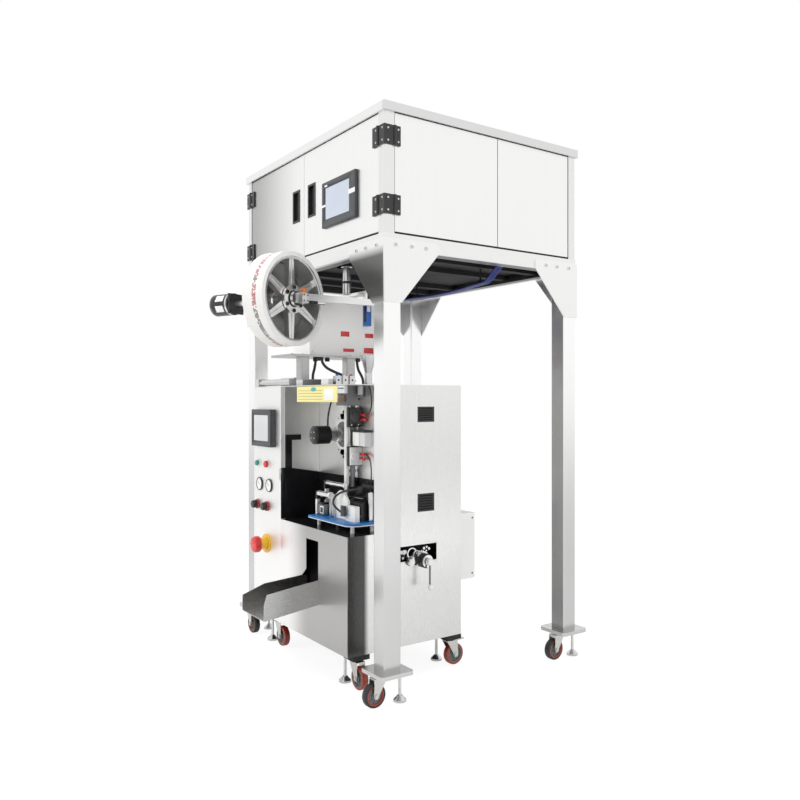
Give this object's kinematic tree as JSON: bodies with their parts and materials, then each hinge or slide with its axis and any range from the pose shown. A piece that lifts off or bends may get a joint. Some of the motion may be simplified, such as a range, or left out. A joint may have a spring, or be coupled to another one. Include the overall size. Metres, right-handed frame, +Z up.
{
  "type": "tea bag packing machine",
  "caption": "Stainless tea bag packing machine: a cabinet on casters forms and seals bags from a paper reel, below a raised weigher housing on square legs.",
  "frame": {"origin": "on the floor, midway between the four frame legs", "axes": "+X to the machine's right as seen from the front, +Y to its back, +Z up"},
  "size_m": [1.298, 1.4407, 2.256],
  "materials": {
    "brushed_steel": "satin brushed stainless sheet",
    "bright_steel": "polished",
    "fork_steel": "zinc plated pressed steel",
    "black_plastic": "black, glossy",
    "black_metal": "black anodised",
    "blue_anodised": "blue, satin",
    "grey_paint": "light grey enamel",
    "white_plastic": "white, matt",
    "white_film": "filter paper web",
    "wheel_rubber": "red-orange and black treads",
    "control_plastic": "moulded, coloured by function",
    "hose_rubber": "black cable and blue air line"
  },
  "bodies": {
    "machine": {"air_cylinder": "brushed_steel", "bag_plate": "blue_anodised", "black_counter": "black_plastic", "box_stand": "brushed_steel", "brake_motor": "black_metal", "cabinet_base": "brushed_steel", "cabinet_right_panel": "brushed_steel", "cabinet_shell": "brushed_steel", "cabinet_top": "brushed_steel", "control_box": "grey_paint", "control_panel": "brushed_steel", "corner_gussets": "brushed_steel", "discharge_tray": "brushed_steel", "door_furniture": "black_plastic", "electrical_box": "grey_paint", "feed_funnel": "brushed_steel", "film_shoe": "white_plastic", "forming_tube": "white_plastic", "frame_legs": "brushed_steel", "front_doors": "brushed_steel", "gear_adjuster": "bright_steel", "head_block": "black_metal", "hoses": "hose_rubber", "housing_frame": "brushed_steel", "housing_lid": "brushed_steel", "leveling_feet": "bright_steel", "lower_front_panel": "brushed_steel", "panel_controls": "control_plastic", "platform_beams": "brushed_steel", "platform_deck": "brushed_steel", "pull_rollers": "bright_steel", "recess_walls": "brushed_steel", "reel_arm": "brushed_steel", "sealing_jaws": "black_metal", "side_panels": "brushed_steel", "side_vents": "black_plastic", "stop_button": "control_plastic", "touch_screens": "black_plastic", "tube_grippers": "black_plastic", "ultrasonic_head": "black_metal", "weigher_outlet": "bright_steel"},
    "reel": {"reel_wheel": "brushed_steel", "film_roll": "white_film"},
    "crank": {"crank_handle": "bright_steel"},
    "swivel_frame_front_right": {"fork_frame_front_right": "fork_steel"},
    "roller_frame_front_right": {"wheel_frame_front_right": "wheel_rubber"},
    "swivel_frame_front_left": {"fork_frame_front_left": "fork_steel"},
    "roller_frame_front_left": {"wheel_frame_front_left": "wheel_rubber"},
    "swivel_frame_rear_right": {"fork_frame_rear_right": "fork_steel"},
    "roller_frame_rear_right": {"wheel_frame_rear_right": "wheel_rubber"},
    "swivel_frame_rear_left": {"fork_frame_rear_left": "fork_steel"},
    "roller_frame_rear_left": {"wheel_frame_rear_left": "wheel_rubber"},
    "swivel_cabinet_front_right": {"fork_cabinet_front_right": "fork_steel"},
    "roller_cabinet_front_right": {"wheel_cabinet_front_right": "wheel_rubber"},
    "swivel_cabinet_front_left": {"fork_cabinet_front_left": "fork_steel"},
    "roller_cabinet_front_left": {"wheel_cabinet_front_left": "wheel_rubber"},
    "swivel_cabinet_rear_right": {"fork_cabinet_rear_right": "fork_steel"},
    "roller_cabinet_rear_right": {"wheel_cabinet_rear_right": "wheel_rubber"},
    "swivel_cabinet_rear_left": {"fork_cabinet_rear_left": "fork_steel"},
    "roller_cabinet_rear_left": {"wheel_cabinet_rear_left": "wheel_rubber"}
  },
  "joints": [
    {"name": "reel_spin", "type": "hinge", "parent": "machine", "child": "reel", "pos_m": [0.2025, -0.67, 1.552], "axis": [0.9239, 0.3827, 0], "continuous": true},
    {"name": "crank_turn", "type": "hinge", "parent": "machine", "child": "crank", "pos_m": [0.4605, -0.185, 0.482], "axis": [1, 0, 0], "continuous": true},
    {"name": "swivel_frame_front_right_turn", "type": "hinge", "parent": "machine", "child": "swivel_frame_front_right", "pos_m": [0.575, -0.5075, 0.1], "axis": [0, 0, 1], "continuous": true},
    {"name": "roller_frame_front_right_spin", "type": "hinge", "parent": "swivel_frame_front_right", "child": "roller_frame_front_right", "pos_m": [0.575, -0.5325, 0.0475], "axis": [1, 0, 0], "continuous": true},
    {"name": "swivel_frame_front_left_turn", "type": "hinge", "parent": "machine", "child": "swivel_frame_front_left", "pos_m": [-0.575, -0.5075, 0.1], "axis": [0, 0, 1], "continuous": true},
    {"name": "roller_frame_front_left_spin", "type": "hinge", "parent": "swivel_frame_front_left", "child": "roller_frame_front_left", "pos_m": [-0.55, -0.5075, 0.0475], "axis": [0, 1, 0], "continuous": true},
    {"name": "swivel_frame_rear_right_turn", "type": "hinge", "parent": "machine", "child": "swivel_frame_rear_right", "pos_m": [0.575, 0.4375, 0.1], "axis": [0, 0, 1], "continuous": true},
    {"name": "roller_frame_rear_right_spin", "type": "hinge", "parent": "swivel_frame_rear_right", "child": "roller_frame_rear_right", "pos_m": [0.575, 0.4125, 0.0475], "axis": [1, 0, 0], "continuous": true},
    {"name": "swivel_frame_rear_left_turn", "type": "hinge", "parent": "machine", "child": "swivel_frame_rear_left", "pos_m": [-0.575, 0.4375, 0.1], "axis": [0, 0, 1], "continuous": true},
    {"name": "roller_frame_rear_left_spin", "type": "hinge", "parent": "swivel_frame_rear_left", "child": "roller_frame_rear_left", "pos_m": [-0.575, 0.4125, 0.0475], "axis": [1, 0, 0], "continuous": true},
    {"name": "swivel_cabinet_front_right_turn", "type": "hinge", "parent": "machine", "child": "swivel_cabinet_front_right", "pos_m": [0.3675, -0.48, 0.1], "axis": [0, 0, 1], "continuous": true},
    {"name": "roller_cabinet_front_right_spin", "type": "hinge", "parent": "swivel_cabinet_front_right", "child": "roller_cabinet_front_right", "pos_m": [0.3925, -0.48, 0.0475], "axis": [0, 1, 0], "continuous": true},
    {"name": "swivel_cabinet_front_left_turn", "type": "hinge", "parent": "machine", "child": "swivel_cabinet_front_left", "pos_m": [-0.3075, -0.48, 0.1], "axis": [0, 0, 1], "continuous": true},
    {"name": "roller_cabinet_front_left_spin", "type": "hinge", "parent": "swivel_cabinet_front_left", "child": "roller_cabinet_front_left", "pos_m": [-0.2825, -0.48, 0.0475], "axis": [0, 1, 0], "continuous": true},
    {"name": "swivel_cabinet_rear_right_turn", "type": "hinge", "parent": "machine", "child": "swivel_cabinet_rear_right", "pos_m": [0.3675, -0.013, 0.1], "axis": [0, 0, 1], "continuous": true},
    {"name": "roller_cabinet_rear_right_spin", "type": "hinge", "parent": "swivel_cabinet_rear_right", "child": "roller_cabinet_rear_right", "pos_m": [0.3675, 0.012, 0.0475], "axis": [1, 0, 0], "continuous": true},
    {"name": "swivel_cabinet_rear_left_turn", "type": "hinge", "parent": "machine", "child": "swivel_cabinet_rear_left", "pos_m": [-0.3075, -0.013, 0.1], "axis": [0, 0, 1], "continuous": true},
    {"name": "roller_cabinet_rear_left_spin", "type": "hinge", "parent": "swivel_cabinet_rear_left", "child": "roller_cabinet_rear_left", "pos_m": [-0.2825, -0.013, 0.0475], "axis": [0, 1, 0], "continuous": true}
  ]
}
